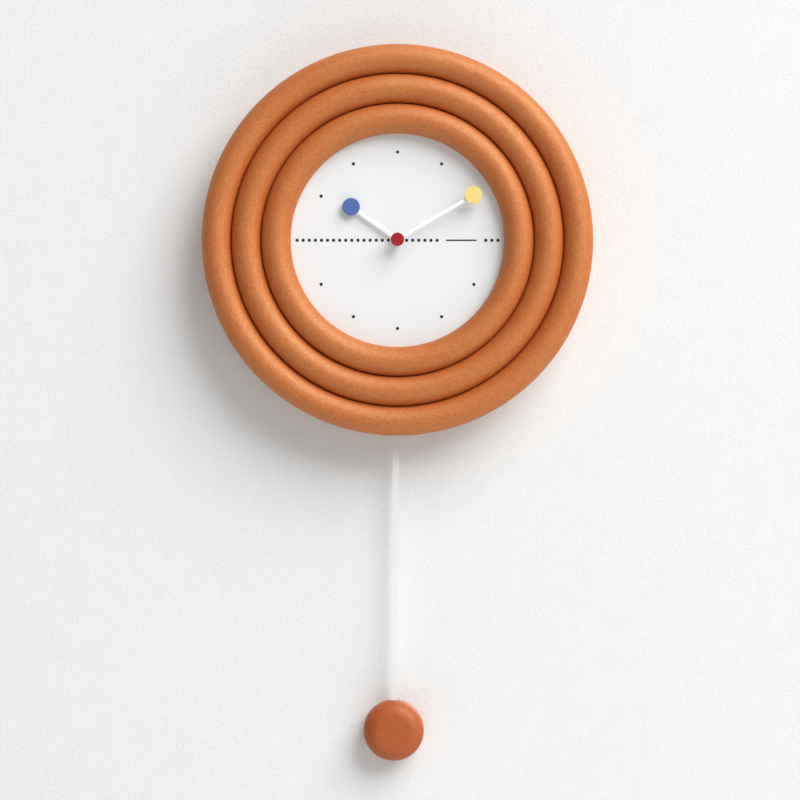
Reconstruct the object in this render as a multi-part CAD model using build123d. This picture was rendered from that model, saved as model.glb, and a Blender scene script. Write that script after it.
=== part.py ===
"""Pendulum wall clock: a three-bead wooden frame, a white dial, a battery movement and a free pendulum.

Every piece is drawn in the clock's own drawing frame, in millimetres: x to the right, y up, z out of the
wall, with the dial's axis at x = y = 0 and the wall at z = 0. export() then stands it in the part's frame,
where +Z is up, the wall is the plane Y = 0, the front faces -Y and the origin is the keyhole that hangs on
the wall's screw.
"""

import os
from math import acos, cos, pi, radians, sin, tan

from build123d import *

# ---- driving dimensions -------------------------------------------------------------------------------
RIM_R = 150.0  # outside of the frame
OPENING_R = 81.9  # hole in the frame that shows the dial
RING_GAP = 0.2  # between neighbouring bead rings
DEPTH = 46.0  # wall to the crest of the beads
HOOP_DEPTH = 24.0  # the hoop stands the frame off the wall
BOARD_T = 6.0
DIAL_T = 1.0
BOB_DROP = 378.6  # dial axis down to the middle of the bob
BOB_R = 23.3
KEYHOLE_RISE = 111.0  # dial axis up to the keyhole, which is the part's origin

# ---- frame --------------------------------------------------------------------------------------------
BEAD_PITCH = (RIM_R + RING_GAP - OPENING_R) / 3
BEAD_R = (BEAD_PITCH - RING_GAP) / 2
SPRING_Z = DEPTH - BEAD_R  # where the half round of a bead starts
BOARD_Z = HOOP_DEPTH
BASE_Z = BOARD_Z + BOARD_T  # the rings stand on the board's front
DIAL_Z = BASE_Z + DIAL_T  # front of the dial
BOARD_R, BOARD_FIT = 139.0, 0.1
DIAL_R, DIAL_FIT = 91.0, 0.3
RING_EASE, SKIRT_EASE = 0.5, 1.5
HOOP_OUT_R, HOOP_IN_R = 124.0, 102.0
GATE_HALF = 16.0  # half width of the hoop's gap that the pendulum swings in

# ---- dial ---------------------------------------------------------------------------------------------
DIAL_HOLE_R = 3.2
MARKER_R = 67.7  # circle of the hour dots
DOT_R, PRINT_T = 1.25, 0.1
ROW_PITCH = MARKER_R / 14.5  # the 3 and 9 o'clock dots belong to the level row
ROW_DOTS = 17  # lattice places each side of the axis; the first is under the hands
DASH_LEFT, DASH_RIGHT, DASH_HALF = 7 * ROW_PITCH, 14 * ROW_PITCH, 0.55

# ---- wood screws and the hanger -----------------------------------------------------------------------
SCREW_R, SCREW_HEAD_R, SCREW_HEAD_T = 1.6, 3.4, 2.2
SCREW_TIP_R, SCREW_TIP_T = 0.3, 3.0
CROSS_REACH, CROSS_HALF, CROSS_DEPTH = 1.9, 0.35, 1.1
RING_SCREW_LENGTH = 14.0
INNER_RING_SCREWS = (97.6, range(15, 360, 60))  # radius and angles
OUTER_RING_SCREWS = (133.2, range(45, 360, 60))
HOOP_SCREW_R = (HOOP_OUT_R + HOOP_IN_R) / 2
HOOP_SCREW_ANGLES = (0, 38, 142, 180, 228, 312)
HOOP_SCREW_Z, HOOP_SCREW_LENGTH, HOOP_WELL_R = 8.0, 30.0, 4.0
HANGER_W, HANGER_T = 44.0, 1.2
HANGER_LOW, HANGER_HIGH = 104.0, 121.5
KEYHOLE_R, KEYHOLE_SLOT_R, KEYHOLE_SLOT_RISE = 4.5, 2.1, 7.0
POCKET_HALF, POCKET_LOW, POCKET_HIGH, POCKET_DEPTH = 6.0, 105.5, 120.5, 8.0
HANGER_SCREW_X, HANGER_SCREW_Y, HANGER_SCREW_LENGTH = 15.0, 113.0, 13.0

# ---- movement housing ---------------------------------------------------------------------------------
CASE_HALF_W, CASE_TOP, CASE_BOTTOM = 29.0, 29.0, -73.0
CASE_WALL, CASE_FLOOR_T, COVER_T = 2.0, 1.5, 1.5
CASE_CORNER_R = 4.0
CASE_FRONT_Z = BOARD_Z
CASE_BACK_Z = 6.0
FLOOR_Z = CASE_FRONT_Z - CASE_FLOOR_T  # inner face of the housing's front
COVER_Z = CASE_BACK_Z + COVER_T  # inner face of the rear cover
CASE_POSTS = [(sx * 24.0, y) for sx in (-1, 1) for y in (24.0, -68.0)]
CASE_POST_R = 2.8
CASE_SCREW_R, CASE_SCREW_DEPTH, CASE_SCREW_HEAD_R, CASE_SCREW_HEAD_T = 1.1, 9.0, 2.0, 1.2
SLOT_HALF_L, SLOT_HALF_W, SLOT_DEPTH = 1.5, 0.3, 0.6
WINDOW_EDGE, WINDOW_END = 1.0, 0.2  # the rear cover's opening round the battery
GRIP_COUNT, GRIP_TOP, GRIP_PITCH, GRIP_HALF_W, GRIP_HALF, GRIP_T = 5, -46.0, 4.5, 17.0, 0.7, 0.6
NECK_R, NECK_FIT, NECK_TOP = 4.0, 0.1, BASE_Z - 0.1
NUT_POCKET_R, NUT_POCKET_Z = 8.6, 26.5
WASHER_R, WASHER_T, NUT_T, NUT_FLATS = 7.6, 0.4, 2.5, 13.0

# ---- battery ------------------------------------------------------------------------------------------
BATTERY_R, BATTERY_LEFT, BATTERY_RIGHT = 7.25, -24.0, 25.2
BATTERY_NUB_R, BATTERY_NUB_END = 2.75, 26.1
BATTERY_Y = -22.0
BATTERY_Z = FLOOR_Z - 0.4 - BATTERY_R
BAY_TOP, BAY_BOTTOM, BAY_RIB_T = -13.4, -30.4, 0.9
CAN_EDGE = 0.8
CONTACT_T, CONTACT_HALF = 0.5, 5.0
CONTACT_LEG_RISE, CONTACT_LEG_LAP = 2.0, 2.0  # the leg that reaches the circuit board
SPRING_WIRE_R, SPRING_COIL_R, SPRING_TURNS, SPRING_SLACK = 0.3, 3.0, 2.0, 0.4

# ---- wheel train: module, tooth counts and places -----------------------------------------------------
PRESSURE = radians(25)
ADDENDUM, DEDENDUM, TOOTH_SHARE = 0.7, 0.95, 0.46
CENTRE_TEETH, THIRD_PINION, CENTRE_MODULE = 64, 8, 0.25
THIRD_TEETH, FOURTH_PINION, THIRD_MODULE = 60, 8, 0.24
FOURTH_TEETH, FIFTH_PINION, FOURTH_MODULE = 40, 8, 0.30
FIFTH_TEETH, ROTOR_PINION, FIFTH_MODULE = 48, 8, 0.25
MOTION_TEETH, CANNON_PINION, CANNON_MODULE = 36, 12, 0.40
HOUR_TEETH, MOTION_PINION, HOUR_MODULE = 48, 12, 0.32
WHEEL_T, PINION_T, PINION_LAP = 0.8, 1.2, 0.2  # a pinion starts PINION_LAP behind the wheel that it meets
WEB_HOLE_R, WEB_HOLE_AT, WEB_HOLES = 0.22, 0.58, 5  # as shares of the wheel's pitch radius, and their number
HOUR_Z, MOTION_Z, CENTRE_Z, THIRD_Z, FOURTH_Z, FIFTH_Z = 21.2, 19.6, 17.8, 16.2, 14.6, 13.0
PIVOT_R, PIVOT_HOLE_R, ARBOR_R = 0.40, 0.45, 0.60
PLATE_Z, PLATE_T = 8.3, 1.0  # train plate
PIVOT_DEPTH = 1.0  # of the blind holes in the housing's front
PIVOT_END, ARBOR_END, ARBOR_START = 0.2, 0.3, 0.2  # play between an arbor and what it stands between
PLATE_LEFT, PLATE_RIGHT, PLATE_BOTTOM, PLATE_TOP = -21.0, 12.9, -9.5, 25.0


def beside(place, distance, angle):
    """The point at a distance and an angle in degrees from place."""
    return (place[0] + distance * cos(radians(angle)), place[1] + distance * sin(radians(angle)))


def mesh_distance(module, teeth, pinion):
    return module * (teeth + pinion) / 2


TRAIN_GAP = 0.8  # the fourth wheel stands this far out of mesh with the fifth pinion
MOTION_ANGLE, THIRD_ANGLE, FOURTH_ANGLE, FIFTH_ANGLE, ROTOR_ANGLE = -8, 160, 75, 10, -5
CENTRE = (0.0, 0.0)
MOTION = beside(CENTRE, mesh_distance(CANNON_MODULE, MOTION_TEETH, CANNON_PINION), MOTION_ANGLE)
THIRD = beside(CENTRE, mesh_distance(CENTRE_MODULE, CENTRE_TEETH, THIRD_PINION), THIRD_ANGLE)
FOURTH = beside(THIRD, mesh_distance(THIRD_MODULE, THIRD_TEETH, FOURTH_PINION), FOURTH_ANGLE)
FIFTH = beside(FOURTH, mesh_distance(FOURTH_MODULE, FOURTH_TEETH, FIFTH_PINION) + TRAIN_GAP, FIFTH_ANGLE)
ROTOR = beside(FIFTH, mesh_distance(FIFTH_MODULE, FIFTH_TEETH, ROTOR_PINION), ROTOR_ANGLE)
TRAIN_POSTS, TRAIN_POST_R = [(-18.5, -6.5), (-18.5, 18.5), (3.5, 22.5)], 1.5
MOTION_ARBOR_R, MOTION_ARBOR_BACK, MOTION_ARBOR_END, MOTION_PIVOT_END = 0.8, 9.0, 0.1, 0.8
HOUR_WHEEL_T = 1.0
CENTRE_WEB_HOLE_R, CENTRE_WEB_R, CENTRE_WEB_STEP = 1.5, 4.8, 60

# ---- centre arbors and hands --------------------------------------------------------------------------
MINUTE_ARBOR_R, MINUTE_ARBOR_TOP = 1.3, 42.2
HOUR_TUBE_R, HOUR_TUBE_BORE_R, HOUR_TUBE_TOP = 2.5, 1.38, 34.5
NECK_BORE_R = 2.58
HAND_W, HAND_T, HAND_ROUND = 3.2, 1.5, 0.6
HOUR_HAND_Z, MINUTE_HAND_Z = 33.0, 39.6
HOUR_REACH, MINUTE_REACH = 43.7, 67.0  # dial axis to the middle of each disc
HOUR_ANGLE, MINUTE_ANGLE = 144.4, 30.3  # about ten past ten, measured from the 3 o'clock side
HUB_R, PAD_R, PAD_T = 4.0, 5.4, 1.0
DISC_R, DISC_T, DISC_ROUND = 6.7, 2.0, 0.35
CAP_R, CAP_T, CAP_ROUND = 5.1, 3.0, 0.5

# ---- motor --------------------------------------------------------------------------------------------
MAGNET_R, MAGNET_Z, MAGNET_T = 2.6, 9.8, 2.5
STATOR_Z, STATOR_T, STATOR_HOLE_R = 10.5, 1.2, 3.0
COIL_X, COIL_LOW, COIL_HIGH, COIL_R = 21.5, -3.0, 17.0, 3.4
CORE_LOW, CORE_HIGH, CORE_W = -7.0, 21.0, 3.0
STATOR_ARM_W, STATOR_ARM_LEFT = 4.0, 2.0
STATOR_EYE_HALF, STATOR_EYE_RIGHT = 4.5, 7.5  # from the rotor's axis
STATOR_LEG_LEFT, STATOR_LEG_H = 4.0, 3.5
STATOR_ARBOR_HOLE_R = 1.2
FLANGE_T, SLEEVE_R, WIRE_BELOW_FLANGE = 1.0, 2.2, 0.3
KNOB_R, KNOB_Z, KNOB_T, KNOB_STEM_R, KNOB_STEM_HOLE_R = 6.5, 2.4, 3.0, 1.5, 1.6
KNOB_STEM_PLAY, KNOB_SOCKET = 0.2, 2.0
FLUTES, FLUTE_R, FLUTE_OUT = 24, 0.85, 0.45

# ---- pendulum -----------------------------------------------------------------------------------------
PIVOT_Y = -37.0
PIN_R, PIN_BORE_R = 1.0, 1.05
ROD_Z, ROD_T, ROD_W = 13.0, 1.2, 4.8  # ROD_Z is the rod's back face
ROD_TOP, ROD_END = -77.0, -BOB_DROP - 4.0
ARM_T, ARM_W, ARM_END = 2.4, 8.0, -88.0
NOTCH_HALF = 8.6  # the arm meets the housing just past 6 degrees
ARM_HUB_R, ARM_HUB_BACK, ARM_HUB_FRONT, ARM_EYE_R = 3.6, 10.3, 15.9, 4.6
PIN_BOSS_R, PIN_PLAY = 3.0, 0.3
NOTCH_FRONT = ARM_HUB_FRONT + 1
MAGNET_SEAT_R, MAGNET_SEAT_T, DRIVE_MAGNET_R, DRIVE_MAGNET_T = 5.4, 1.6, 4.0, 2.4
RIVET_R, RIVET_HEAD_R, RIVET_HEAD_T = 1.2, 2.0, 0.8
DRIVE_Y = -58.0  # magnet and drive coil
BOARD_LOW, BOARD_HIGH, BOARD_HALF, PCB_Z, PCB_T = -64.5, -33.0, 26.5, 21.6, 0.8
BOARD_HOLE_R = 3.2
DRIVE_COIL_R, DRIVE_COIL_BORE_R, DRIVE_COIL_Z = 7.5, 2.5, 17.4
CRYSTAL_X, CRYSTAL_Y, CRYSTAL_R, CRYSTAL_L = 11.0, -44.0, 1.5, 8.0
CHIP_PLACE, CHIP_R, CHIP_T = (14.5, -56.0), 3.2, 1.2
BOB_BACK_Z, BOB_FRONT_Z, BOB_FLAT_R, BOB_BACK_ROUND = 4.7, 25.7, 12.0, 4.0
BOB_SCREW_Y, BOB_SCREW_R, BOB_SCREW_HEAD_R, BOB_WELL_R = -372.0, 1.5, 2.8, 3.2
BOB_WELL_DEPTH, BOB_SCREW_SUNK = 2.4, 0.4
LEAN = 0.5  # degrees from plumb, to the left, at which the pendulum is drawn in its swing

STAND = Plane(origin=(0, 0, -KEYHOLE_RISE), x_dir=(1, 0, 0), z_dir=(0, -1, 0))


# ---- helpers ------------------------------------------------------------------------------------------
def disc(radius, low, high, place=CENTRE):
    """A round bar along z between two heights."""
    bar = Cylinder(radius, high - low, align=(Align.CENTER, Align.CENTER, Align.MIN))
    return Pos(place[0], place[1], low) * bar


def tube(outer, inner, low, high, place=CENTRE):
    return disc(outer, low, high, place) - disc(inner, low, high, place)


def block(left, right, bottom, top, low, high):
    """A box from its six sides."""
    box = Box(right - left, top - bottom, high - low, align=(Align.MIN, Align.MIN, Align.MIN))
    return Pos(left, bottom, low) * box


def turned(points_and_arcs):
    """A solid turned about the z axis from edges drawn as (radius, height)."""
    return revolve(Plane.XZ * make_face(points_and_arcs), Axis.Z)


def taper(low_r, high_r, low, height, place):
    """A round taper along z that starts at height low."""
    cone = Cone(low_r, high_r, height, align=(Align.CENTER, Align.CENTER, Align.MIN))
    return Pos(place[0], place[1], low) * cone


def countersunk_screw(place, low, length):
    """A wood screw with a flat head at height low, driven along +z."""
    tip_z = low + length - SCREW_TIP_T
    head = taper(SCREW_HEAD_R, SCREW_R, low, SCREW_HEAD_T, place)
    shank = disc(SCREW_R, low + SCREW_HEAD_T, tip_z, place)
    return head + shank + taper(SCREW_R, SCREW_TIP_R, tip_z, SCREW_TIP_T, place)


def cross_slot(place, low):
    """The driver's cross that is cut into a screw head from behind."""
    x, y = place
    high = low + CROSS_DEPTH
    level = block(x - CROSS_REACH, x + CROSS_REACH, y - CROSS_HALF, y + CROSS_HALF, low, high)
    return level + block(x - CROSS_HALF, x + CROSS_HALF, y - CROSS_REACH, y + CROSS_REACH, low, high)


def slotted(screws, places, low):
    """The screws with a driver's cross in each head, as one group."""
    return Compound(children=[screw - cross_slot(place, low) for screw, place in zip(screws, places)])


def round_places(radius, angles):
    return [beside(CENTRE, radius, a) for a in angles]


def involute(angle):
    return tan(angle) - angle


def gear(teeth, module, phase=0.0):
    """The outline of a spur gear with one tooth centred at phase, in radians."""
    pitch_r = module * teeth / 2
    base_r = pitch_r * cos(PRESSURE)
    tip_r, root_r = pitch_r + ADDENDUM * module, pitch_r - DEDENDUM * module
    half_tooth = TOOTH_SHARE * pi / teeth + involute(PRESSURE)

    def flank(radius, centre, side):
        angle = half_tooth - involute(acos(min(1.0, base_r / radius)))
        return (radius * cos(centre + side * angle), radius * sin(centre + side * angle))

    start_r = max(base_r, root_r)
    middle_r = (start_r + tip_r) / 2
    edges, last = [], None
    for tooth in range(teeth):
        centre = phase + 2 * pi * tooth / teeth
        right = [flank(r, centre, -1) for r in (start_r, middle_r, tip_r)]
        left = [flank(r, centre, 1) for r in (tip_r, middle_r, start_r)]
        path = [right[0], left[2]]
        if root_r < base_r:
            share = root_r / base_r
            path = [(x * share, y * share) for x, y in path]
            edges += [Line(path[0], right[0]), Line(left[2], path[1])]
        edges += [ThreePointArc(*right), Line(right[2], left[0]), ThreePointArc(*left)]
        if last:
            edges.append(Line(last, path[0]))
        else:
            first = path[0]
        last = path[1]
    edges.append(Line(last, first))
    return make_face(edges)


def toothed(teeth, module, phase, low, thickness, place):
    return Pos(place[0], place[1], low) * extrude(gear(teeth, module, phase), thickness)


def partner_phase(teeth, phase, partner_teeth, angle):
    """The phase of the partner that lies at an angle in degrees, so that its gaps take the teeth."""
    line = radians(angle)
    return line + pi - (pi - teeth * (line - phase)) / partner_teeth


def export(name, shape):
    """Writes one node as solids in the part's frame."""
    solids = [STAND.location * s for s in shape.solids()]
    whole = solids[0] if len(solids) == 1 else Compound(children=solids)
    export_step(whole, f"parts/{name}.step")


# ---- frame and dial -----------------------------------------------------------------------------------
def bead_ring(index):
    """One bead ring, counted from the dial outwards: a half-round crest on straight sides."""
    inner = OPENING_R + index * BEAD_PITCH
    outer = inner + 2 * BEAD_R
    middle = (inner + outer) / 2
    crest = ThreePointArc((inner, SPRING_Z), (middle, DEPTH), (outer, SPRING_Z))
    sides = Polyline(
        (outer, SPRING_Z),
        (outer, BASE_Z + RING_EASE),
        (outer - RING_EASE, BASE_Z),
        (inner + RING_EASE, BASE_Z),
        (inner, BASE_Z + RING_EASE),
        (inner, SPRING_Z),
    )
    return turned([crest, sides])


def outer_ring():
    """The outermost ring also has a skirt that hides the board's edge."""
    inside = BOARD_R + BOARD_FIT
    skirt = Polyline(
        (inside, BOARD_Z),
        (RIM_R - SKIRT_EASE, BOARD_Z),
        (RIM_R, BOARD_Z + SKIRT_EASE),
        (RIM_R, SPRING_Z),
        (inside, SPRING_Z),
        (inside, BOARD_Z),
    )
    return bead_ring(2) + turned([skirt])


def inner_ring():
    """The innermost ring has a rebate that holds the dial's edge."""
    return bead_ring(0) - disc(DIAL_R + DIAL_FIT, BASE_Z, DIAL_Z)


def dial_markers():
    """Printed dots for the hours and along the level row, with a plain dash in the row's right half."""
    row = [(i + 0.5) * ROW_PITCH for i in range(1, ROW_DOTS)]
    places = [(-x, 0) for x in row] + [(x, 0) for x in row if not DASH_LEFT < x < DASH_RIGHT]
    places += round_places(MARKER_R, [a for a in range(0, 360, 30) if a % 180])
    top = DIAL_Z + PRINT_T
    dash = block(DASH_LEFT + ROW_PITCH, DASH_RIGHT - ROW_PITCH, -DASH_HALF, DASH_HALF, DIAL_Z, top)
    return [disc(DOT_R, DIAL_Z, top, p) for p in places] + [dash]


def cut_screws(piece, screws):
    for screw in screws:
        piece -= screw
    return piece


def build_frame():
    inner_places = round_places(*INNER_RING_SCREWS)
    outer_places = round_places(*OUTER_RING_SCREWS)
    hoop_places = round_places(HOOP_SCREW_R, HOOP_SCREW_ANGLES)
    hanger_places = [(-HANGER_SCREW_X, HANGER_SCREW_Y), (HANGER_SCREW_X, HANGER_SCREW_Y)]
    inner_screws = [countersunk_screw(p, BOARD_Z, RING_SCREW_LENGTH) for p in inner_places]
    outer_screws = [countersunk_screw(p, BOARD_Z, RING_SCREW_LENGTH) for p in outer_places]
    hoop_screws = [countersunk_screw(p, HOOP_SCREW_Z, HOOP_SCREW_LENGTH) for p in hoop_places]
    hanger_screws = [countersunk_screw(p, 0, HANGER_SCREW_LENGTH) for p in hanger_places]
    ring_screws = inner_screws + outer_screws

    export("inner_bead_ring", cut_screws(inner_ring(), inner_screws))
    export("middle_bead_ring", cut_screws(bead_ring(1), hoop_screws))
    export("outer_bead_ring", cut_screws(outer_ring(), outer_screws))

    board = disc(BOARD_R, BOARD_Z, BASE_Z) - disc(NECK_R + NECK_FIT, BOARD_Z, BASE_Z)
    board -= disc(NUT_POCKET_R, NUT_POCKET_Z, BASE_Z)
    export("back_board", cut_screws(board, ring_screws + hoop_screws))
    export("dial_plate", tube(DIAL_R, DIAL_HOLE_R, BASE_Z, DIAL_Z))
    export("dial_markers", Compound(children=dial_markers()))

    hoop = tube(HOOP_OUT_R, HOOP_IN_R, 0, HOOP_DEPTH)
    hoop -= block(-GATE_HALF, GATE_HALF, -HOOP_OUT_R, 0, 0, HOOP_DEPTH)
    hoop -= block(-HANGER_W / 2, HANGER_W / 2, HANGER_LOW, HANGER_HIGH, 0, HANGER_T)
    hoop -= block(-POCKET_HALF, POCKET_HALF, POCKET_LOW, POCKET_HIGH, 0, POCKET_DEPTH)
    for place in hoop_places:
        hoop -= disc(HOOP_WELL_R, 0, HOOP_SCREW_Z, place)
    export("rear_hoop", cut_screws(hoop, hoop_screws + hanger_screws))

    slot_top = KEYHOLE_RISE + KEYHOLE_SLOT_RISE
    keyhole = disc(KEYHOLE_R, 0, HANGER_T, (0, KEYHOLE_RISE))
    keyhole += disc(KEYHOLE_SLOT_R, 0, HANGER_T, (0, slot_top))
    keyhole += block(-KEYHOLE_SLOT_R, KEYHOLE_SLOT_R, KEYHOLE_RISE, slot_top, 0, HANGER_T)
    hanger = block(-HANGER_W / 2, HANGER_W / 2, HANGER_LOW, HANGER_HIGH, 0, HANGER_T) - keyhole
    export("hanger_plate", cut_screws(hanger, hanger_screws))

    export("ring_screws", slotted(ring_screws, inner_places + outer_places, BOARD_Z))
    export("hoop_screws", slotted(hoop_screws, hoop_places, HOOP_SCREW_Z))
    export("hanger_screws", slotted(hanger_screws, hanger_places, 0))


# ---- movement housing ---------------------------------------------------------------------------------
def rounded_box(inset, low, high):
    width, height = 2 * (CASE_HALF_W - inset), CASE_TOP - CASE_BOTTOM - 2 * inset
    outline = RectangleRounded(width, height, CASE_CORNER_R - inset / 2)
    return Pos(0, (CASE_TOP + CASE_BOTTOM) / 2, low) * extrude(outline, high - low)


def case_screw(place):
    head = disc(CASE_SCREW_HEAD_R, CASE_BACK_Z - CASE_SCREW_HEAD_T, CASE_BACK_Z, place)
    return head + disc(CASE_SCREW_R, CASE_BACK_Z, CASE_BACK_Z + CASE_SCREW_DEPTH, place)


def build_housing():
    case_screws = [case_screw(p) for p in CASE_POSTS]
    pin = disc(PIN_R, COVER_Z, FLOOR_Z, (0, PIVOT_Y))

    housing = rounded_box(0, COVER_Z, CASE_FRONT_Z) - rounded_box(CASE_WALL, COVER_Z, FLOOR_Z)
    for place in CASE_POSTS:
        housing += disc(CASE_POST_R, COVER_Z, FLOOR_Z, place)
    for place in TRAIN_POSTS:
        housing += disc(TRAIN_POST_R, PLATE_Z + PLATE_T, FLOOR_Z, place)
    housing += disc(PIN_BOSS_R, ARM_HUB_FRONT + PIN_PLAY, FLOOR_Z, (0, PIVOT_Y))
    housing -= disc(NECK_R, FLOOR_Z, CASE_FRONT_Z)
    for place in (THIRD, FOURTH, FIFTH, ROTOR, MOTION):
        housing -= disc(PIVOT_HOLE_R, FLOOR_Z, FLOOR_Z + PIVOT_DEPTH, place)
    housing -= block(-NOTCH_HALF, NOTCH_HALF, CASE_BOTTOM, CASE_BOTTOM + CASE_WALL, COVER_Z, NOTCH_FRONT)
    inner_x = CASE_HALF_W - CASE_WALL
    for y in (BAY_TOP, BAY_BOTTOM - BAY_RIB_T):
        housing += block(-inner_x + CONTACT_T, inner_x - CONTACT_T, y, y + BAY_RIB_T, COVER_Z, FLOOR_Z)
    export("movement_housing", cut_screws(housing, case_screws + [pin]))

    left, right = BATTERY_LEFT - WINDOW_EDGE, BATTERY_NUB_END + WINDOW_END
    half = BATTERY_R + WINDOW_EDGE
    cover = rounded_box(0, CASE_BACK_Z, COVER_Z)
    cover -= block(left, right, BATTERY_Y - half, BATTERY_Y + half, CASE_BACK_Z, COVER_Z)
    cover -= disc(KNOB_STEM_HOLE_R, CASE_BACK_Z, COVER_Z, MOTION)
    cover += tube(PIN_BOSS_R, PIN_R, COVER_Z, ARM_HUB_BACK - PIN_PLAY, (0, PIVOT_Y))
    for step in range(GRIP_COUNT):
        low = GRIP_TOP - GRIP_PITCH * step - GRIP_HALF
        rib = block(-GRIP_HALF_W, GRIP_HALF_W, low, low + 2 * GRIP_HALF, CASE_BACK_Z - GRIP_T, CASE_BACK_Z)
        cover += rib
    export("movement_cover", cut_screws(cover, case_screws))
    head_z = CASE_BACK_Z - CASE_SCREW_HEAD_T
    slot = block(-SLOT_HALF_L, SLOT_HALF_L, -SLOT_HALF_W, SLOT_HALF_W, head_z, head_z + SLOT_DEPTH)
    export("cover_screws", Compound(children=[
        s - Pos(p[0], p[1], 0) * slot for s, p in zip(case_screws, CASE_POSTS)
    ]))
    export("pendulum_pivot_pin", pin)

    export("neck_bushing", tube(NECK_R, NECK_BORE_R, FLOOR_Z, NECK_TOP))
    export("neck_washer", tube(WASHER_R, NECK_R, NUT_POCKET_Z, NUT_POCKET_Z + WASHER_T))
    nut_z = NUT_POCKET_Z + WASHER_T
    hexagon = RegularPolygon(NUT_FLATS / 2, 6, major_radius=False)
    nut = Pos(0, 0, nut_z) * extrude(hexagon, NUT_T) - disc(NECK_R, nut_z, nut_z + NUT_T)
    export("neck_nut", nut)


def build_battery():
    along = Pos(BATTERY_LEFT, BATTERY_Y, BATTERY_Z) * Rot(0, 90, 0)
    can = disc(BATTERY_R, 0, BATTERY_RIGHT - BATTERY_LEFT)
    can = fillet(can.edges().filter_by(GeomType.CIRCLE), CAN_EDGE)
    export("battery_cell", along * (can + disc(BATTERY_NUB_R, 0, BATTERY_NUB_END - BATTERY_LEFT)))

    inner_x = CASE_HALF_W - CASE_WALL
    low, high = BATTERY_Y - CONTACT_HALF, BATTERY_Y + CONTACT_HALF
    plate = block(inner_x - CONTACT_T, inner_x, low, high, BATTERY_Z - CONTACT_HALF, BATTERY_Z + CONTACT_HALF)
    leg_z = BATTERY_Z + CONTACT_LEG_RISE
    plate += block(inner_x - CONTACT_T, inner_x, BOARD_HIGH - CONTACT_LEG_LAP, low, leg_z, PCB_Z + PCB_T)
    export("battery_contact", plate)

    length = BATTERY_LEFT + inner_x - CONTACT_T - SPRING_WIRE_R - SPRING_SLACK
    helix = Helix(pitch=length / SPRING_TURNS, height=length, radius=SPRING_COIL_R)
    wire = sweep(Plane(origin=helix @ 0, z_dir=helix % 0) * Circle(SPRING_WIRE_R), path=helix)
    coil = Pos(CONTACT_T - inner_x, BATTERY_Y, BATTERY_Z) * Rot(0, 90, 0) * wire
    export("battery_spring", mirror(plate, Plane.YZ) + coil)


# ---- motor and circuit --------------------------------------------------------------------------------
def build_motor():
    coil_axis = Pos(COIL_X, COIL_LOW, STATOR_Z + STATOR_T / 2) * Rot(-90, 0, 0)
    length = COIL_HIGH - COIL_LOW
    stator_top = STATOR_Z + STATOR_T
    rotor_x, rotor_y = ROTOR

    def along(radius, low, high):
        return coil_axis * disc(radius, low, high)

    def lamination(left, right, bottom, top):
        return block(left, right, bottom, top, STATOR_Z, stator_top)

    core_right = COIL_X + CORE_W / 2
    core = lamination(COIL_X - CORE_W / 2, core_right, CORE_LOW, CORE_HIGH)
    flanges = along(COIL_R, 0, FLANGE_T) + along(COIL_R, length - FLANGE_T, length)
    export("coil_bobbin", along(SLEEVE_R, 0, length) + flanges - core)
    winding = along(COIL_R - WIRE_BELOW_FLANGE, FLANGE_T, length - FLANGE_T) - along(SLEEVE_R, 0, length)
    export("motor_coil", winding)

    leg_left, eye_right = rotor_x + STATOR_LEG_LEFT, rotor_x + STATOR_EYE_RIGHT
    stator = core + lamination(rotor_x - STATOR_ARM_LEFT, core_right, CORE_HIGH - STATOR_ARM_W, CORE_HIGH)
    stator += lamination(leg_left, eye_right, CORE_LOW, rotor_y)
    stator += lamination(leg_left, core_right, CORE_LOW, CORE_LOW + STATOR_LEG_H)
    stator += lamination(rotor_x - STATOR_EYE_HALF, eye_right, rotor_y - STATOR_EYE_HALF, CORE_HIGH)
    stator -= disc(STATOR_HOLE_R, STATOR_Z, stator_top, ROTOR)
    stator -= disc(STATOR_ARBOR_HOLE_R, STATOR_Z, stator_top, FIFTH)
    export("motor_stator", stator)

    pinion = toothed(ROTOR_PINION, FIFTH_MODULE, 0, FIFTH_Z - PINION_LAP, PINION_T, ROTOR)
    shaft = disc(PIVOT_R, PLATE_Z, FLOOR_Z + PIVOT_DEPTH - PIVOT_END, ROTOR)
    sleeve = disc(ARBOR_R, MAGNET_Z + MAGNET_T, FLOOR_Z - ARBOR_END, ROTOR)
    export("rotor_pinion", pinion + shaft + sleeve)
    export("rotor_magnet", tube(MAGNET_R, PIVOT_R, MAGNET_Z, MAGNET_Z + MAGNET_T, ROTOR))

    board = block(-BOARD_HALF, BOARD_HALF, BOARD_LOW, BOARD_HIGH, PCB_Z, PCB_Z + PCB_T)
    board -= disc(BOARD_HOLE_R, PCB_Z, PCB_Z + PCB_T, (0, PIVOT_Y))
    export("circuit_board", board)
    crystal = Pos(CRYSTAL_X, CRYSTAL_Y, PCB_Z - CRYSTAL_R) * Rot(0, 90, 0) * disc(CRYSTAL_R, 0, CRYSTAL_L)
    export("quartz_crystal", crystal)
    export("circuit_chip", disc(CHIP_R, PCB_Z - CHIP_T, PCB_Z, CHIP_PLACE))
    export("pendulum_coil", tube(DRIVE_COIL_R, DRIVE_COIL_BORE_R, DRIVE_COIL_Z, PCB_Z, (0, DRIVE_Y)))


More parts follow.
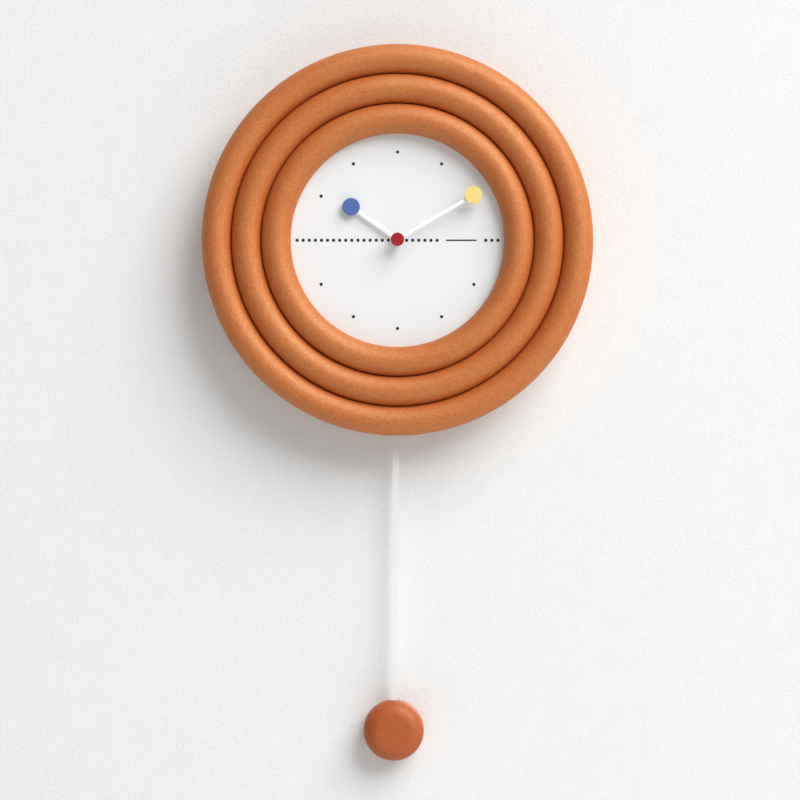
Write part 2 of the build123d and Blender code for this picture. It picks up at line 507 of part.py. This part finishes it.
# ---- wheel train --------------------------------------------------------------------------------------
def train_wheel(place, pinion, wheel):
    """A wheel and pinion on one arbor, each given as (teeth, module, height of its mesh's layer, phase)."""
    teeth, module, low, phase = wheel
    leaves, pinion_module, pinion_layer, pinion_phase = pinion
    solid = toothed(teeth, module, phase, low, WHEEL_T, place)
    solid += toothed(leaves, pinion_module, pinion_phase, pinion_layer - PINION_LAP, PINION_T, place)
    solid += disc(ARBOR_R, PLATE_Z + PLATE_T + ARBOR_START, FLOOR_Z - ARBOR_END, place)
    solid += disc(PIVOT_R, PLATE_Z, FLOOR_Z + PIVOT_DEPTH - PIVOT_END, place)
    pitch_r = module * teeth / 2
    for hole in range(WEB_HOLES):
        centre = beside(place, pitch_r * WEB_HOLE_AT, 360 / WEB_HOLES * hole)
        solid -= disc(pitch_r * WEB_HOLE_R, low, low + WHEEL_T, centre)
    return solid


def build_train():
    """The going train's three wheels and the plate that carries their back pivots."""
    third_pinion_phase = partner_phase(CENTRE_TEETH, 0, THIRD_PINION, THIRD_ANGLE)
    fourth_pinion_phase = partner_phase(THIRD_TEETH, 0, FOURTH_PINION, FOURTH_ANGLE)
    fifth_pinion_phase = partner_phase(FOURTH_TEETH, 0, FIFTH_PINION, FIFTH_ANGLE)
    # The rotor's pinion has a tooth at 0, so the fifth wheel is the one that is turned to fit.
    fifth_phase = partner_phase(ROTOR_PINION, 0, FIFTH_TEETH, ROTOR_ANGLE + 180)
    export("third_wheel", train_wheel(
        THIRD,
        (THIRD_PINION, CENTRE_MODULE, CENTRE_Z, third_pinion_phase),
        (THIRD_TEETH, THIRD_MODULE, THIRD_Z, 0),
    ))
    export("fourth_wheel", train_wheel(
        FOURTH,
        (FOURTH_PINION, THIRD_MODULE, THIRD_Z, fourth_pinion_phase),
        (FOURTH_TEETH, FOURTH_MODULE, FOURTH_Z, 0),
    ))
    export("fifth_wheel", train_wheel(
        FIFTH,
        (FIFTH_PINION, FOURTH_MODULE, FOURTH_Z, fifth_pinion_phase),
        (FIFTH_TEETH, FIFTH_MODULE, FIFTH_Z, fifth_phase),
    ))

    plate_front = PLATE_Z + PLATE_T
    plate = block(PLATE_LEFT, PLATE_RIGHT, PLATE_BOTTOM, PLATE_TOP, PLATE_Z, plate_front)
    for place in (CENTRE, THIRD, FOURTH, FIFTH, ROTOR):
        plate -= disc(PIVOT_HOLE_R, PLATE_Z, plate_front, place)
    plate -= disc(KNOB_STEM_HOLE_R + KNOB_STEM_PLAY, PLATE_Z, plate_front, MOTION)
    export("train_plate", plate)


def build_motion_work():
    """The cannon pinion turns the motion wheel, whose pinion turns the hour wheel."""
    motion_phase = partner_phase(CANNON_PINION, 0, MOTION_TEETH, MOTION_ANGLE)
    hour_phase = partner_phase(MOTION_PINION, 0, HOUR_TEETH, MOTION_ANGLE + 180)
    wheel_front, shoulder_z = MOTION_Z + WHEEL_T, FLOOR_Z - MOTION_ARBOR_END
    motion = toothed(MOTION_TEETH, CANNON_MODULE, motion_phase, MOTION_Z, WHEEL_T, MOTION)
    motion += toothed(MOTION_PINION, HOUR_MODULE, 0, wheel_front, HOUR_Z + HOUR_WHEEL_T - wheel_front, MOTION)
    motion += disc(MOTION_ARBOR_R, MOTION_ARBOR_BACK, shoulder_z, MOTION)
    motion += disc(PIVOT_R, shoulder_z, FLOOR_Z + MOTION_PIVOT_END, MOTION)
    export("motion_wheel", motion)

    flute_places = round_places(KNOB_R + FLUTE_OUT, range(0, 360, 360 // FLUTES))
    flutes = [Pos(*place) * Circle(FLUTE_R) for place in flute_places]
    socket_end = MOTION_ARBOR_BACK + KNOB_SOCKET
    knob = Pos(MOTION[0], MOTION[1], KNOB_Z) * extrude(Circle(KNOB_R) - flutes, KNOB_T)
    knob += disc(KNOB_STEM_R, KNOB_Z + KNOB_T, socket_end, MOTION)
    export("setting_knob", knob - disc(MOTION_ARBOR_R, MOTION_ARBOR_BACK, socket_end, MOTION))

    hour = toothed(HOUR_TEETH, HOUR_MODULE, hour_phase, HOUR_Z, HOUR_WHEEL_T, CENTRE)
    hour += disc(HOUR_TUBE_R, HOUR_Z, HOUR_TUBE_TOP)
    export("hour_wheel", hour - disc(HOUR_TUBE_BORE_R, HOUR_Z, HOUR_TUBE_TOP))

    arbor = disc(MINUTE_ARBOR_R, CENTRE_Z, MINUTE_ARBOR_TOP)
    arbor += toothed(CANNON_PINION, CANNON_MODULE, 0, MOTION_Z - PINION_LAP, PINION_T, CENTRE)
    arbor += disc(PIVOT_R, PLATE_Z, CENTRE_Z) + disc(ARBOR_R, PLATE_Z + PLATE_T + ARBOR_START, CENTRE_Z)
    export("minute_arbor", arbor)
    wheel = toothed(CENTRE_TEETH, CENTRE_MODULE, 0, CENTRE_Z, WHEEL_T, CENTRE)
    wheel -= disc(MINUTE_ARBOR_R, CENTRE_Z, CENTRE_Z + WHEEL_T)
    for place in round_places(CENTRE_WEB_R, range(0, 360, CENTRE_WEB_STEP)):
        wheel -= disc(CENTRE_WEB_HOLE_R, CENTRE_Z, CENTRE_Z + WHEEL_T, place)
    export("centre_wheel", wheel)


# ---- hands --------------------------------------------------------------------------------------------
def hand(reach, angle, low, bore):
    """A flat bar with rounded front edges, from the hub to a round pad that carries the disc."""
    bar = block(0, reach, -HAND_W / 2, HAND_W / 2, 0, HAND_T)
    front_edges = bar.edges().filter_by(Axis.X).sort_by(Axis.Z)[-2:]
    bar = fillet(front_edges, HAND_ROUND) - disc(DISC_R, PAD_T, HAND_T, (reach, 0))
    blank = bar + disc(HUB_R, 0, HAND_T) + disc(PAD_R, 0, PAD_T, (reach, 0))
    return Pos(0, 0, low) * Rot(0, 0, angle) * (blank - disc(bore, 0, HAND_T))


def colour_disc(radius, thickness, edge, low, place):
    blank = disc(radius, 0, thickness)
    rim = blank.edges().filter_by(GeomType.CIRCLE).sort_by(Axis.Z)[-1]
    return Pos(place[0], place[1], low) * fillet(rim, edge)


def build_hands():
    export("hour_hand", hand(HOUR_REACH, HOUR_ANGLE, HOUR_HAND_Z, HOUR_TUBE_R))
    export("minute_hand", hand(MINUTE_REACH, MINUTE_ANGLE, MINUTE_HAND_Z, MINUTE_ARBOR_R))
    hour_place = beside(CENTRE, HOUR_REACH, HOUR_ANGLE)
    minute_place = beside(CENTRE, MINUTE_REACH, MINUTE_ANGLE)
    export("hour_disc", colour_disc(DISC_R, DISC_T, DISC_ROUND, HOUR_HAND_Z + PAD_T, hour_place))
    export("minute_disc", colour_disc(DISC_R, DISC_T, DISC_ROUND, MINUTE_HAND_Z + PAD_T, minute_place))
    cap_z = MINUTE_HAND_Z + HAND_T
    cap = colour_disc(CAP_R, CAP_T, CAP_ROUND, cap_z, CENTRE)
    export("centre_cap", cap - disc(MINUTE_ARBOR_R, cap_z, MINUTE_ARBOR_TOP))


# ---- pendulum -----------------------------------------------------------------------------------------
def bob():
    """A round wooden bob: flat face, full round edge in front, smaller round behind."""
    edge_r = BOB_R - BOB_FLAT_R
    spring_z = BOB_FRONT_Z - edge_r
    lean = cos(radians(45))
    front_round = ThreePointArc(
        (BOB_FLAT_R, BOB_FRONT_Z), (BOB_FLAT_R + edge_r * lean, spring_z + edge_r * lean), (BOB_R, spring_z)
    )
    back_centre = (BOB_R - BOB_BACK_ROUND, BOB_BACK_Z + BOB_BACK_ROUND)
    back_round = ThreePointArc(
        (BOB_R, back_centre[1]),
        (back_centre[0] + BOB_BACK_ROUND * lean, back_centre[1] - BOB_BACK_ROUND * lean),
        (back_centre[0], BOB_BACK_Z),
    )
    outline = [
        Line((0, BOB_FRONT_Z), (BOB_FLAT_R, BOB_FRONT_Z)),
        front_round,
        Line((BOB_R, spring_z), (BOB_R, back_centre[1])),
        back_round,
        Polyline((back_centre[0], BOB_BACK_Z), (0, BOB_BACK_Z), (0, BOB_FRONT_Z)),
    ]
    return Pos(0, -BOB_DROP, 0) * turned(outline)


def export_swinging(name, shape):
    """Writes a piece of the pendulum, turned about the pivot to where it is drawn in its swing."""
    export(name, Pos(0, PIVOT_Y, 0) * Rot(0, 0, -LEAN) * Pos(0, -PIVOT_Y, 0) * shape)


def build_pendulum():
    pivot, drive = (0, PIVOT_Y), (0, DRIVE_Y)
    rivet_place, screw_place = (0, (ROD_TOP + ARM_END) / 2), (0, BOB_SCREW_Y)
    arm_z, rod_front = ROD_Z - ARM_T, ROD_Z + ROD_T

    rivet = disc(RIVET_R, arm_z, rod_front, rivet_place)
    rivet += disc(RIVET_HEAD_R, rod_front, rod_front + RIVET_HEAD_T, rivet_place)
    arm = block(-ARM_W / 2, ARM_W / 2, ARM_END, PIVOT_Y, arm_z, ROD_Z) + disc(ARM_EYE_R, arm_z, ROD_Z, pivot)
    arm += disc(ARM_HUB_R, ARM_HUB_BACK, ARM_HUB_FRONT, pivot)
    arm += disc(MAGNET_SEAT_R, arm_z, ROD_Z, drive)
    arm += tube(MAGNET_SEAT_R, DRIVE_MAGNET_R, ROD_Z, ROD_Z + MAGNET_SEAT_T, drive)
    arm -= disc(PIN_BORE_R, ARM_HUB_BACK, ARM_HUB_FRONT, pivot)
    export_swinging("pendulum_arm", arm - rivet)
    export_swinging("pendulum_magnet", disc(DRIVE_MAGNET_R, ROD_Z, ROD_Z + DRIVE_MAGNET_T, drive))
    export_swinging("rod_rivet", rivet)

    rod = block(-ROD_W / 2, ROD_W / 2, ROD_END, ROD_TOP, ROD_Z, rod_front)
    export_swinging("pendulum_rod", rod - rivet)
    well_z, head_z = BOB_BACK_Z + BOB_WELL_DEPTH, BOB_BACK_Z + BOB_SCREW_SUNK
    screw = disc(BOB_SCREW_HEAD_R, head_z, well_z, screw_place)
    screw += disc(BOB_SCREW_R, well_z, ROD_Z, screw_place)
    well = disc(BOB_WELL_R, BOB_BACK_Z, well_z, screw_place)
    export_swinging("pendulum_bob", bob() - rod - well - screw)
    export_swinging("bob_screw", screw - cross_slot(screw_place, head_z))


def main():
    os.makedirs("parts", exist_ok=True)
    build_frame()
    build_housing()
    build_battery()
    build_motor()
    build_train()
    build_motion_work()
    build_hands()
    build_pendulum()


main()
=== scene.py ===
"""Looks for the pendulum wall clock.

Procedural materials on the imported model, a plaster wall, a pale floor and soft studio light.
Lengths are in metres, and noise scales are per metre.
"""

import math

import bpy
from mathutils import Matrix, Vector

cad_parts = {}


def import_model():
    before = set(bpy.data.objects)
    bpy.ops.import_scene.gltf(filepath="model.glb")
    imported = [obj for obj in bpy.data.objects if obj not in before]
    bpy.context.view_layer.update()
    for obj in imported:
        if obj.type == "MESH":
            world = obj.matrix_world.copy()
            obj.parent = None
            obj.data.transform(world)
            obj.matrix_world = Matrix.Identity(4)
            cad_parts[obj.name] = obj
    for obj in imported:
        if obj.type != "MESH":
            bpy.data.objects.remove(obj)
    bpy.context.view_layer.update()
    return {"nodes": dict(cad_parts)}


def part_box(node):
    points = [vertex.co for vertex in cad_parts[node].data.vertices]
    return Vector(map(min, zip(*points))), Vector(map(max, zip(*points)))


MM = 0.001

# Camera: lens and sensor in mm, then how far right of the origin, in front of the wall and below the dial
LENS = 105.75
SENSOR = 36.0
CAMERA_RIGHT = 1.9 * MM
CAMERA_FRONT = 1834.6 * MM
CAMERA_BELOW = 122.6 * MM

# Key light: a disk whose direction rises out of the wall's plane, and turns in that plane from right to up
KEY_RISE = math.radians(34)
KEY_TURN = math.radians(52)
KEY_DISTANCE = 6.4
KEY_SIZE = 5.2
KEY_POWER = 490.0

# Lamp behind the wall, for the back of the clock
BEHIND_OFFSET = (1.2, 2.4, 0.8)
BEHIND_SIZE = 1.2
BEHIND_POWER = 40.0

# World: strength rises from dark to bright as the cosine to the key light goes from far to near
WORLD_TINT = (0.97, 0.985, 1.0)
WORLD_FAR = -0.7
WORLD_NEAR = 1.0
WORLD_DARK = 0.0
WORLD_BRIGHT = 0.52

# Stage
HALF_WIDTH = 3.0
WALL_GAP = 0.4 * MM
FLOOR_DROP = 1.3
WALL_RISE = 2.2
FLOOR_FRONT = -4.0

# Turned wood
WOOD_ROUGHNESS = 0.6
GRAIN_ACROSS = 900.0
GRAIN_ALONG = 26.0
BOB_GRAIN_ALONG = 6.0
PORE_SCALE = 620.0
PORE_DEPTH = 0.12 * MM
HUE_SCALE = 42.0
REDDER = (1.0, 0.93, 0.88)
YELLOWER = (1.0, 1.05, 1.06)
WOOD_IOR = 1.7
SHEEN_TINT = (1.0, 0.84, 0.48, 1.0)

# Bare board
BOARD_ACROSS = 140.0
BOARD_ALONG = 9.0
BOARD_DEPTH = 0.08 * MM

# Smooth coats, metals and coils
TONE_SCALE = 60.0
LINE_SCALE = 900.0
LINE_STRETCH = 12.0
LINE_DEPTH = 0.03 * MM
WIRE_PITCH = 0.4 * MM
WIRE_DEPTH = 0.08 * MM

# Plaster
FLOAT_SCALE = 420.0
PATCH_SCALE = 45.0
PLASTER_DEPTH = 1.2 * MM


def middle(node):
    """The middle of a node's box."""
    low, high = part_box(node)
    return (Vector(low) + Vector(high)) / 2


# ---- node helpers --------------------------------------------------------------------------------
class Nodes:
    """A material's node tree with short calls for what the looks below need."""

    def __init__(self, name, **shader):
        self.material = bpy.data.materials.new(name)
        self.material.use_nodes = True
        self.tree = self.material.node_tree
        self.shader = self.tree.nodes["Principled BSDF"]
        self.output = self.tree.nodes["Material Output"]
        for socket, value in shader.items():
            self.shader.inputs[socket.replace("_", " ")].default_value = value

    def link(self, source, target):
        self.tree.links.new(source, target)

    def add(self, kind, **settings):
        node = self.tree.nodes.new(kind)
        for name, value in settings.items():
            setattr(node, name, value)
        return node

    def place(self, centre):
        """The point being shaded, in metres from centre."""
        coords = self.add("ShaderNodeTexCoord")
        return self.vector("SUBTRACT", coords.outputs["Object"], tuple(centre))

    def vector(self, operation, first, second=None):
        node = self.add("ShaderNodeVectorMath", operation=operation)
        self.feed(node.inputs[0], first)
        self.feed(node.inputs[1], second)
        return node.outputs["Value" if operation == "LENGTH" else "Vector"]

    def feed(self, socket, value):
        if isinstance(value, bpy.types.NodeSocket):
            self.link(value, socket)
        elif value is not None:
            socket.default_value = value

    def maths(self, operation, first, second=None):
        node = self.add("ShaderNodeMath", operation=operation)
        for socket, value in zip(node.inputs, (first, second)):
            self.feed(socket, value)
        return node.outputs[0]

    def split(self, vector):
        node = self.add("ShaderNodeSeparateXYZ")
        self.link(vector, node.inputs[0])
        return node.outputs

    def join(self, x, y, z):
        node = self.add("ShaderNodeCombineXYZ")
        for socket, value in zip(node.inputs, (x, y, z)):
            self.feed(socket, value)
        return node.outputs[0]

    def mean(self, first, second, weight):
        """The mean of two values, with this weight on the first."""
        rest = self.maths("MULTIPLY", second, 1 - weight)
        return self.maths("ADD", self.maths("MULTIPLY", first, weight), rest)

    def noise(self, vector, scale, detail, rough, extra=None, distort=0.0):
        """Noise at vector, or in four dimensions where extra is the fourth."""
        node = self.add("ShaderNodeTexNoise", noise_dimensions="4D" if extra is not None else "3D")
        self.link(vector, node.inputs["Vector"])
        settings = {"Scale": scale, "Detail": detail, "Roughness": rough, "Distortion": distort}
        for name, value in settings.items():
            node.inputs[name].default_value = value
        if extra is not None:
            self.feed(node.inputs["W"], extra)
        return node.outputs["Fac"]

    def ramp(self, factor, *stops):
        """A colour ramp with (position, colour) stops."""
        node = self.add("ShaderNodeValToRGB")
        elements = node.color_ramp.elements
        while len(elements) < len(stops):
            elements.new(0.5)
        for element, (position, colour) in zip(elements, stops):
            element.position = position
            element.color = (*colour, 1)
        self.link(factor, node.inputs["Fac"])
        return node.outputs["Color"]

    def span(self, value, low, high, out_low=0.0, out_high=1.0):
        """Maps low..high to out_low..out_high and holds it there."""
        node = self.add("ShaderNodeMapRange")
        for socket, number in zip(node.inputs, (value, low, high, out_low, out_high)):
            self.feed(socket, number)
        return node.outputs[0]

    def mix(self, factor, first, second, blend="MIX"):
        node = self.add("ShaderNodeMix", data_type="RGBA", blend_type=blend)
        self.feed(node.inputs["Factor"], factor)
        for name, value in (("A", first), ("B", second)):
            socket = next(s for s in node.inputs if s.name == name and s.type == "RGBA")
            self.feed(socket, (*value, 1) if isinstance(value, tuple) else value)
        return next(s for s in node.outputs if s.type == "RGBA")

    def bump(self, height, distance, strength):
        node = self.add("ShaderNodeBump")
        node.inputs["Strength"].default_value = strength
        node.inputs["Distance"].default_value = distance
        self.link(height, node.inputs["Height"])
        return node.outputs["Normal"]

    def use(self, **sockets):
        for name, value in sockets.items():
            self.feed(self.shader.inputs[name.replace("_", " ")], value)
        return self.material


# ---- materials -----------------------------------------------------------------------------------
def turned_wood(name, centre, light, base, dark, along=GRAIN_ALONG, gloss=1.0):
    """Satin wood, its grain round the y axis through centre, with fine pores and slow changes of hue."""
    n = Nodes(
        name, Roughness=WOOD_ROUGHNESS, Specular_IOR_Level=gloss, IOR=WOOD_IOR, Specular_Tint=SHEEN_TINT
    )
    point = n.place(centre)
    x, y, z = n.split(point)
    spoke = n.join(x, 0.0, z)
    radius = n.vector("LENGTH", spoke)
    turn_x, _, turn_z = n.split(n.vector("NORMALIZE", spoke))
    grain = n.join(
        n.maths("MULTIPLY", turn_x, along),
        n.maths("MULTIPLY", turn_z, along),
        n.maths("MULTIPLY", radius, GRAIN_ACROSS),
    )
    streak = n.noise(grain, 1.0, 3.0, 0.6, extra=n.maths("MULTIPLY", y, GRAIN_ACROSS))
    pores = n.noise(point, PORE_SCALE, 3.0, 0.65)
    cloud = n.noise(point, HUE_SCALE, 3.0, 0.55)
    tone = n.mean(streak, pores, 0.45)
    colour = n.ramp(tone, (0.34, dark), (0.5, base), (0.66, light))
    redder = n.mix(1.0, colour, REDDER, "MULTIPLY")
    yellower = n.mix(1.0, colour, YELLOWER, "MULTIPLY")
    colour = n.mix(n.span(cloud, 0.38, 0.62), redder, yellower)
    return n.use(
        Base_Color=colour,
        Roughness=n.span(tone, 0.35, 0.65, WOOD_ROUGHNESS + 0.07, WOOD_ROUGHNESS - 0.05),
        Normal=n.bump(n.mean(streak, pores, 0.5), PORE_DEPTH, 0.6),
    )


def plain_board(name, light, dark):
    """Bare softwood board with straight grain along z."""
    n = Nodes(name, Roughness=0.7, Specular_IOR_Level=0.3)
    x, y, z = n.split(n.place((0, 0, 0)))
    grain = n.join(
        n.maths("MULTIPLY", x, BOARD_ACROSS),
        n.maths("MULTIPLY", y, BOARD_ACROSS),
        n.maths("MULTIPLY", z, BOARD_ALONG),
    )
    wide = n.noise(grain, 1.0, 3.0, 0.6, distort=0.4)
    fine = n.noise(grain, 7.0, 2.0, 0.6)
    tone = n.mean(wide, fine, 0.7)
    return n.use(Base_Color=n.ramp(tone, (0.38, dark), (0.62, light)), Normal=n.bump(fine, BOARD_DEPTH, 0.5))


def paint(name, colour, roughness, speck=0.03, texture=900.0, depth=0.02 * MM, specular=0.5):
    """A smooth coat with a faint orange peel and a faint change of tone."""
    n = Nodes(name, Roughness=roughness, Specular_IOR_Level=specular)
    point = n.place((0, 0, 0))
    peel = n.noise(point, texture, 2.0, 0.5)
    cloud = n.noise(point, TONE_SCALE, 2.0, 0.5)
    duller = tuple(c * (1 - speck) for c in colour)
    return n.use(
        Base_Color=n.ramp(n.mean(peel, cloud, 0.5), (0.35, duller), (0.65, colour)),
        Roughness=n.span(peel, 0.3, 0.7, roughness - 0.04, roughness + 0.04),
        Normal=n.bump(peel, depth, 0.4),
    )


def brushed(name, colour, roughness=0.32):
    """Plated or turned metal with fine lines."""
    n = Nodes(name, Metallic=1.0, Roughness=roughness)
    x, y, z = n.split(n.place((0, 0, 0)))
    stretched = n.join(n.maths("MULTIPLY", x, LINE_STRETCH), n.maths("MULTIPLY", y, LINE_STRETCH), z)
    lines = n.noise(stretched, LINE_SCALE, 2.0, 0.6)
    duller = tuple(c * 0.8 for c in colour)
    return n.use(
        Base_Color=n.ramp(lines, (0.35, duller), (0.65, colour)),
        Roughness=n.span(lines, 0.3, 0.7, roughness - 0.08, roughness + 0.12),
        Normal=n.bump(lines, LINE_DEPTH, 0.3),
    )


def winding(name, colour, node, axis):
    """Enamelled wire wound round an axis, as fine ridges, with painted shade in the grooves between turns."""
    n = Nodes(name, Metallic=0.6, Roughness=0.35)
    parts = n.split(n.place(middle(node)))
    waves = n.maths("SINE", n.maths("MULTIPLY", parts[axis], 2 * math.pi / WIRE_PITCH))
    # painted shade: the colour darkens to 0.55 of itself in the grooves between turns, where the bump is
    # lowest
    groove_shade = tuple(c * 0.55 for c in colour)
    tone = n.span(waves, -1.0, 1.0)
    return n.use(Base_Color=n.ramp(tone, (0.1, groove_shade), (0.8, colour)), Normal=n.bump(tone, WIRE_DEPTH, 0.6))


# ---- stage ---------------------------------------------------------------------------------------
def plane(name, corners, material):
    """One flat face that belongs to the stage and not to the clock."""
    mesh = bpy.data.meshes.new(name)
    mesh.from_pydata(corners, [], [tuple(range(len(corners)))])
    mesh.materials.append(material)
    obj = bpy.data.objects.new(name, mesh)
    bpy.context.collection.objects.link(obj)
    return obj


def plaster():
    """White plaster with a fine float finish, clear from behind."""
    n = Nodes("plaster", Roughness=0.9, Specular_IOR_Level=0.1)
    point = n.place((0, 0, 0))
    fine = n.noise(point, FLOAT_SCALE, 4.0, 0.65)
    wide = n.noise(point, PATCH_SCALE, 2.0, 0.5)
    tone = n.mean(fine, wide, 0.8)
    n.use(
        Base_Color=n.ramp(tone, (0.35, (0.78, 0.78, 0.775)), (0.65, (0.82, 0.82, 0.815))),
        Normal=n.bump(tone, PLASTER_DEPTH, 0.35),
    )
    clear = n.add("ShaderNodeBsdfTransparent")
    both = n.add("ShaderNodeMixShader")
    facing = n.add("ShaderNodeNewGeometry")
    n.link(facing.outputs["Backfacing"], both.inputs[0])
    n.link(n.shader.outputs[0], both.inputs[1])
    n.link(clear.outputs[0], both.inputs[2])
    n.link(both.outputs[0], n.output.inputs["Surface"])
    return n.material


def build_stage(dial):
    """A wall just behind the clock, which lets the lamp behind it through, and a floor well below."""
    bottom = dial.z - FLOOR_DROP
    top = dial.z + WALL_RISE
    foot = [(-HALF_WIDTH, WALL_GAP, bottom), (HALF_WIDTH, WALL_GAP, bottom)]
    wall = plane("wall", [*foot, (HALF_WIDTH, WALL_GAP, top), (-HALF_WIDTH, WALL_GAP, top)], plaster())
    wall.visible_shadow = False
    pale = paint("floor_paint", (0.72, 0.72, 0.71), 0.6, texture=200.0)
    edge = [(-HALF_WIDTH, FLOOR_FRONT, bottom), (HALF_WIDTH, FLOOR_FRONT, bottom)]
    plane("floor", [*edge, *reversed(foot)], pale)


def area_light(name, place, target, size, power):
    """A white disk light that faces the target."""
    data = bpy.data.lights.new(name, "AREA")
    data.shape = "DISK"
    data.size = size
    data.energy = power
    obj = bpy.data.objects.new(name, data)
    obj.location = place
    obj.rotation_mode = "QUATERNION"
    obj.rotation_quaternion = (Vector(target) - Vector(place)).to_track_quat("-Z", "Y")
    bpy.context.collection.objects.link(obj)


def build_world(aim):
    """A pale world that is brighter on the side of the key light."""
    world = bpy.data.worlds.new("world")
    world.use_nodes = True
    tree = world.node_tree
    background = tree.nodes["Background"]
    background.inputs["Color"].default_value = (*WORLD_TINT, 1)
    coords = tree.nodes.new("ShaderNodeTexCoord")
    facing = tree.nodes.new("ShaderNodeVectorMath")
    facing.operation = "DOT_PRODUCT"
    facing.inputs[1].default_value = aim
    span = tree.nodes.new("ShaderNodeMapRange")
    for socket, value in zip(list(span.inputs)[1:5], (WORLD_FAR, WORLD_NEAR, WORLD_DARK, WORLD_BRIGHT)):
        socket.default_value = value
    tree.links.new(coords.outputs["Generated"], facing.inputs[0])
    tree.links.new(facing.outputs["Value"], span.inputs[0])
    tree.links.new(span.outputs[0], background.inputs["Strength"])
    bpy.context.scene.world = world


def build_light(dial):
    """One large soft key from the upper right and in front, and a lamp behind the wall for the back."""
    across = math.cos(KEY_RISE)
    aim = Vector((math.cos(KEY_TURN) * across, -math.sin(KEY_RISE), math.sin(KEY_TURN) * across))
    area_light("key", dial + aim * KEY_DISTANCE, dial, KEY_SIZE, KEY_POWER)
    area_light("behind", dial + Vector(BEHIND_OFFSET), dial, BEHIND_SIZE, BEHIND_POWER)
    build_world(aim)
    view = bpy.context.scene.view_settings
    view.view_transform = "Standard"
    view.look = "None"


def build_camera(dial):
    """Square on to the clock, level with a point below the dial."""
    data = bpy.data.cameras.new("camera")
    data.lens = LENS
    data.sensor_width = SENSOR
    camera = bpy.data.objects.new("camera", data)
    camera.location = (CAMERA_RIGHT, -CAMERA_FRONT, dial.z - CAMERA_BELOW)
    camera.rotation_euler = (math.pi / 2, 0, 0)
    bpy.context.collection.objects.link(camera)
    bpy.context.scene.camera = camera


# ---- dressing ------------------------------------------------------------------------------------
def dress(frame, looks):
    """Gives each node its material."""
    for material, names in looks:
        for name in names.split():
            mesh = frame["nodes"][name].data
            mesh.materials.clear()
            mesh.materials.append(material)


def choose_looks(dial, bob):
    """Each material with the nodes that wear it."""
    wood = turned_wood("frame_wood", dial, (0.58, 0.146, 0.029), (0.49, 0.109, 0.017), (0.38, 0.073, 0.008))
    bob_wood = turned_wood(
        "bob_wood",
        bob,
        (0.445, 0.068, 0.014),
        (0.388, 0.056, 0.009),
        (0.32, 0.042, 0.005),
        along=BOB_GRAIN_ALONG,
        gloss=0.75,
    )
    black = paint("black_plastic", (0.03, 0.03, 0.032), 0.42, texture=1400.0, depth=0.04 * MM)
    return [
        (wood, "inner_bead_ring middle_bead_ring outer_bead_ring"),
        (bob_wood, "pendulum_bob"),
        (plain_board("bare_board", (0.62, 0.43, 0.25), (0.46, 0.29, 0.15)), "back_board rear_hoop"),
        (paint("dial_white", (0.80, 0.815, 0.82), 0.5, 0.015), "dial_plate"),
        (paint("print_black", (0.006, 0.006, 0.006), 0.45), "dial_markers"),
        (paint("white_enamel", (0.90, 0.90, 0.89), 0.4, 0.02), "hour_hand minute_hand"),
        (paint("rod_white", (0.80, 0.80, 0.80), 0.45, 0.02), "pendulum_rod"),
        (paint("red", (0.36, 0.008, 0.015), 0.42, specular=0.35), "centre_cap"),
        (paint("blue", (0.078, 0.145, 0.40), 0.5, specular=0.35), "hour_disc"),
        (paint("yellow", (0.88, 0.655, 0.21), 0.5, specular=0.35), "minute_disc"),
        (black, "movement_housing movement_cover setting_knob circuit_chip coil_bobbin pendulum_arm"),
        (paint("white_plastic", (0.75, 0.75, 0.72), 0.4, 0.04),
         "train_plate third_wheel fourth_wheel fifth_wheel motion_wheel hour_wheel centre_wheel "
         "rotor_pinion"),
        (brushed("plated_steel", (0.62, 0.62, 0.63)),
         "hanger_plate ring_screws hoop_screws hanger_screws cover_screws pendulum_pivot_pin battery_contact "
         "battery_spring motor_stator quartz_crystal bob_screw rod_rivet pendulum_magnet rotor_magnet"),
        (brushed("turned_brass", (0.78, 0.56, 0.24), 0.28), "neck_bushing neck_washer neck_nut minute_arbor"),
        (winding("motor_winding", (0.65, 0.27, 0.11), "motor_coil", 2), "motor_coil"),
        (winding("drive_winding", (0.65, 0.27, 0.11), "pendulum_coil", 1), "pendulum_coil"),
        (paint("circuit_green", (0.04, 0.2, 0.07), 0.4), "circuit_board"),
        (paint("battery_wrap", (0.10, 0.10, 0.12), 0.3), "battery_cell"),
    ]


def main():
    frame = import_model()
    dial = middle("dial_plate")
    dress(frame, choose_looks(dial, middle("pendulum_bob")))
    build_stage(dial)
    build_light(dial)
    build_camera(dial)


main()
